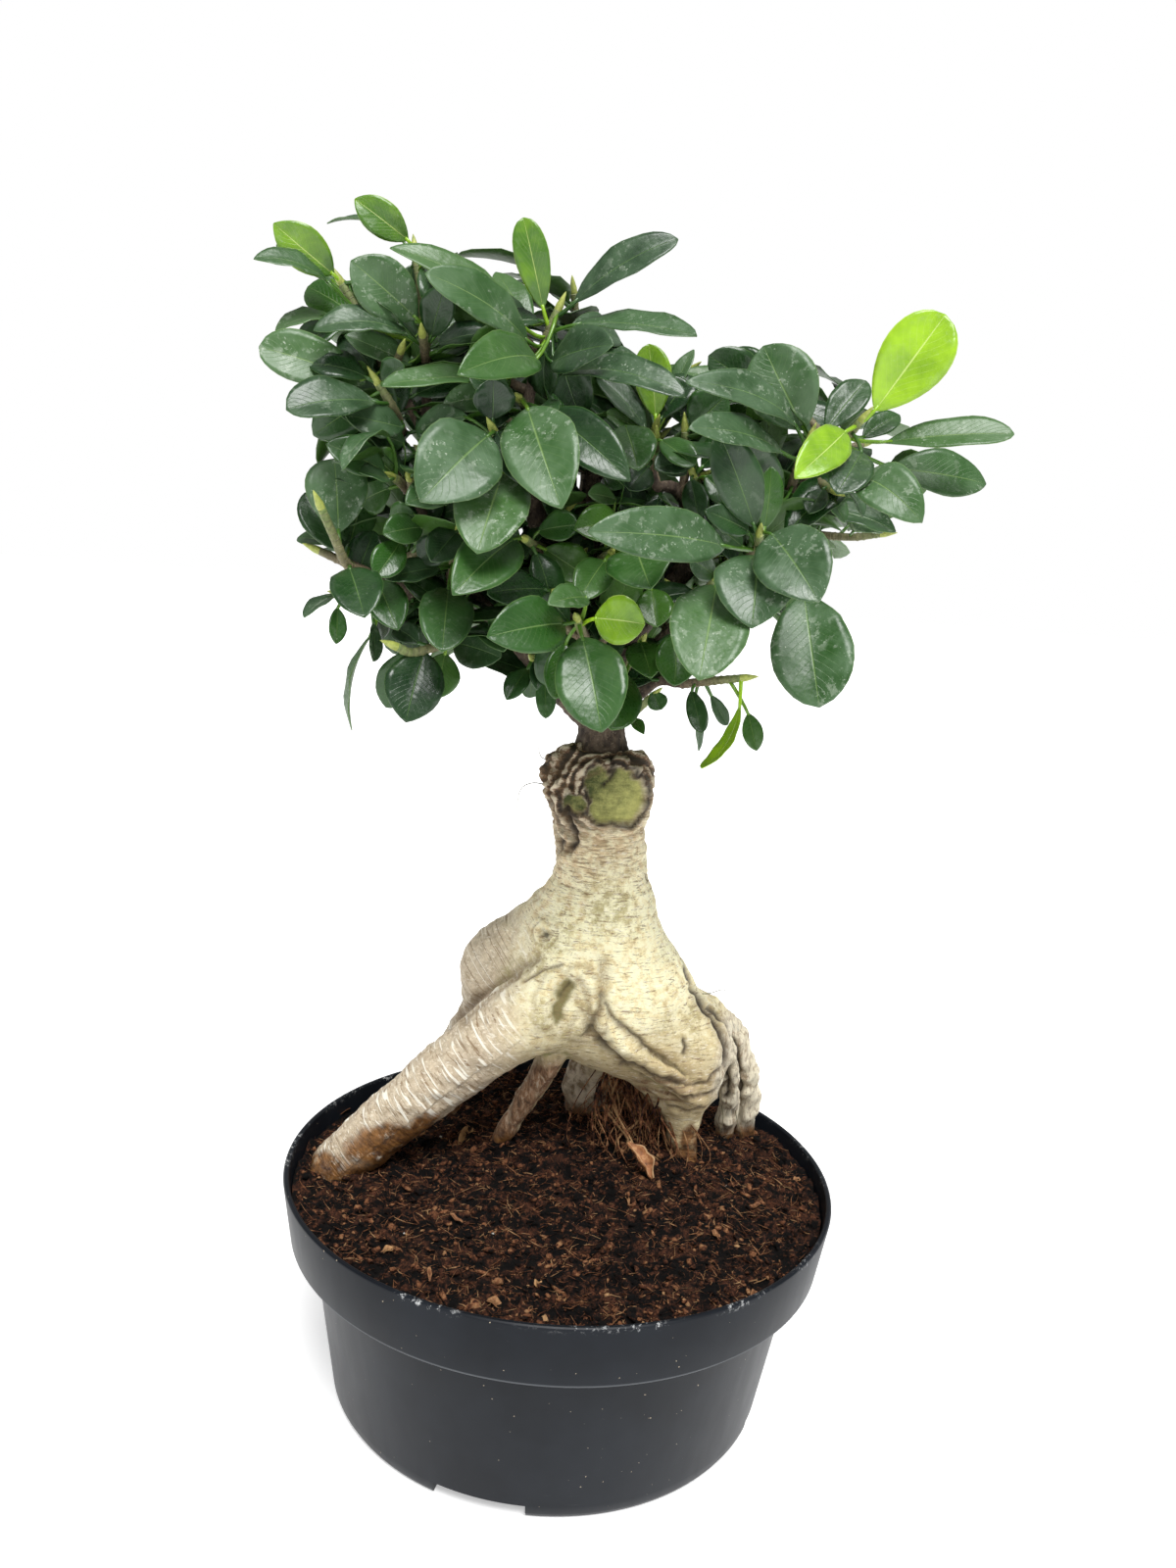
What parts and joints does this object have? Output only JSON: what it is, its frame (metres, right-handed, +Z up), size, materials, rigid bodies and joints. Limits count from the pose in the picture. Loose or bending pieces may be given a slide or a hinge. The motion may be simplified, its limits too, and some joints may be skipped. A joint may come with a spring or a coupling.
{
  "type": "ficus ginseng bonsai",
  "caption": "Potted ficus ginseng bonsai: pale swollen roots and neck, grafted branches and a rounded crown of oval glossy leaves in a round black plastic nursery pot.",
  "frame": {"origin": "centre of the pot's underside, on the plane it stands on", "axes": "+Z up along the pot's axis, +Y away from the side with the long slanting root and the hanging twig in view, +X to that view's right"},
  "size_m": [0.2802, 0.2561, 0.4761],
  "materials": {
    "pot_plastic": "black satin moulded plastic, faint scuffs and dust",
    "peat_soil": "damp dark brown peat with fibres and bark crumbs",
    "root_bark": "pale cream-brown smooth bark with fine pits, wrinkles and lenticels",
    "branch_bark": "rough grey-brown bark",
    "mature_leaf": "glossy dark green leathery leaf with a pale midrib",
    "young_leaf": "glossy bright lime-green young leaf",
    "dry_leaf": "dry curled orange-brown leaf"
  },
  "bodies": {
    "root": {"pot": "pot_plastic", "soil": "peat_soil", "rootstock": "root_bark", "scion_branches": "branch_bark", "dry_leaf": "dry_leaf", "shoot_back_left_low": "mature_leaf", "shoot_back_left_mid": "mature_leaf", "shoot_back_left_top": "mature_leaf", "shoot_back_low": "mature_leaf", "shoot_back_low_left": "mature_leaf", "shoot_back_low_right": "mature_leaf", "shoot_back_mid_left": "mature_leaf", "shoot_back_mid_right": "mature_leaf", "shoot_back_right_mid": "mature_leaf", "shoot_back_right_top": "mature_leaf", "shoot_back_top": "mature_leaf", "shoot_centre_front": "mature_leaf", "shoot_centre_front_low": "mature_leaf", "shoot_centre_low": "mature_leaf", "shoot_centre_right": "mature_leaf", "shoot_centre_top": "mature_leaf", "shoot_crown_middle": "mature_leaf", "shoot_far_left": "mature_leaf", "shoot_far_left_top": "mature_leaf", "shoot_front_low": "mature_leaf", "shoot_front_rosette": "mature_leaf", "shoot_hanging_right": "mature_leaf", "shoot_left_front": "mature_leaf", "shoot_left_front_low": "mature_leaf", "shoot_left_hanging": "mature_leaf", "shoot_left_rosette": "mature_leaf", "shoot_left_small": "mature_leaf", "shoot_left_stem": "mature_leaf", "shoot_left_stub": "mature_leaf", "shoot_left_top": "mature_leaf", "shoot_low_centre": "mature_leaf", "shoot_low_left": "mature_leaf", "shoot_low_middle": "mature_leaf", "shoot_mid_right": "mature_leaf", "shoot_right_back_top": "mature_leaf", "shoot_right_front": "mature_leaf", "shoot_right_front_low": "mature_leaf", "shoot_right_inner": "mature_leaf", "shoot_right_inner_low": "mature_leaf", "shoot_right_low": "mature_leaf", "shoot_right_mid": "mature_leaf", "shoot_right_side": "mature_leaf", "shoot_right_top": "mature_leaf", "shoot_sprout": "mature_leaf", "young_leaf_1": "young_leaf", "young_leaf_2": "young_leaf", "young_leaf_3": "young_leaf", "young_leaf_4": "young_leaf", "young_leaf_5": "young_leaf", "young_leaf_6": "young_leaf", "young_leaf_7": "young_leaf", "young_leaf_8": "young_leaf"}
  },
  "joints": []
}
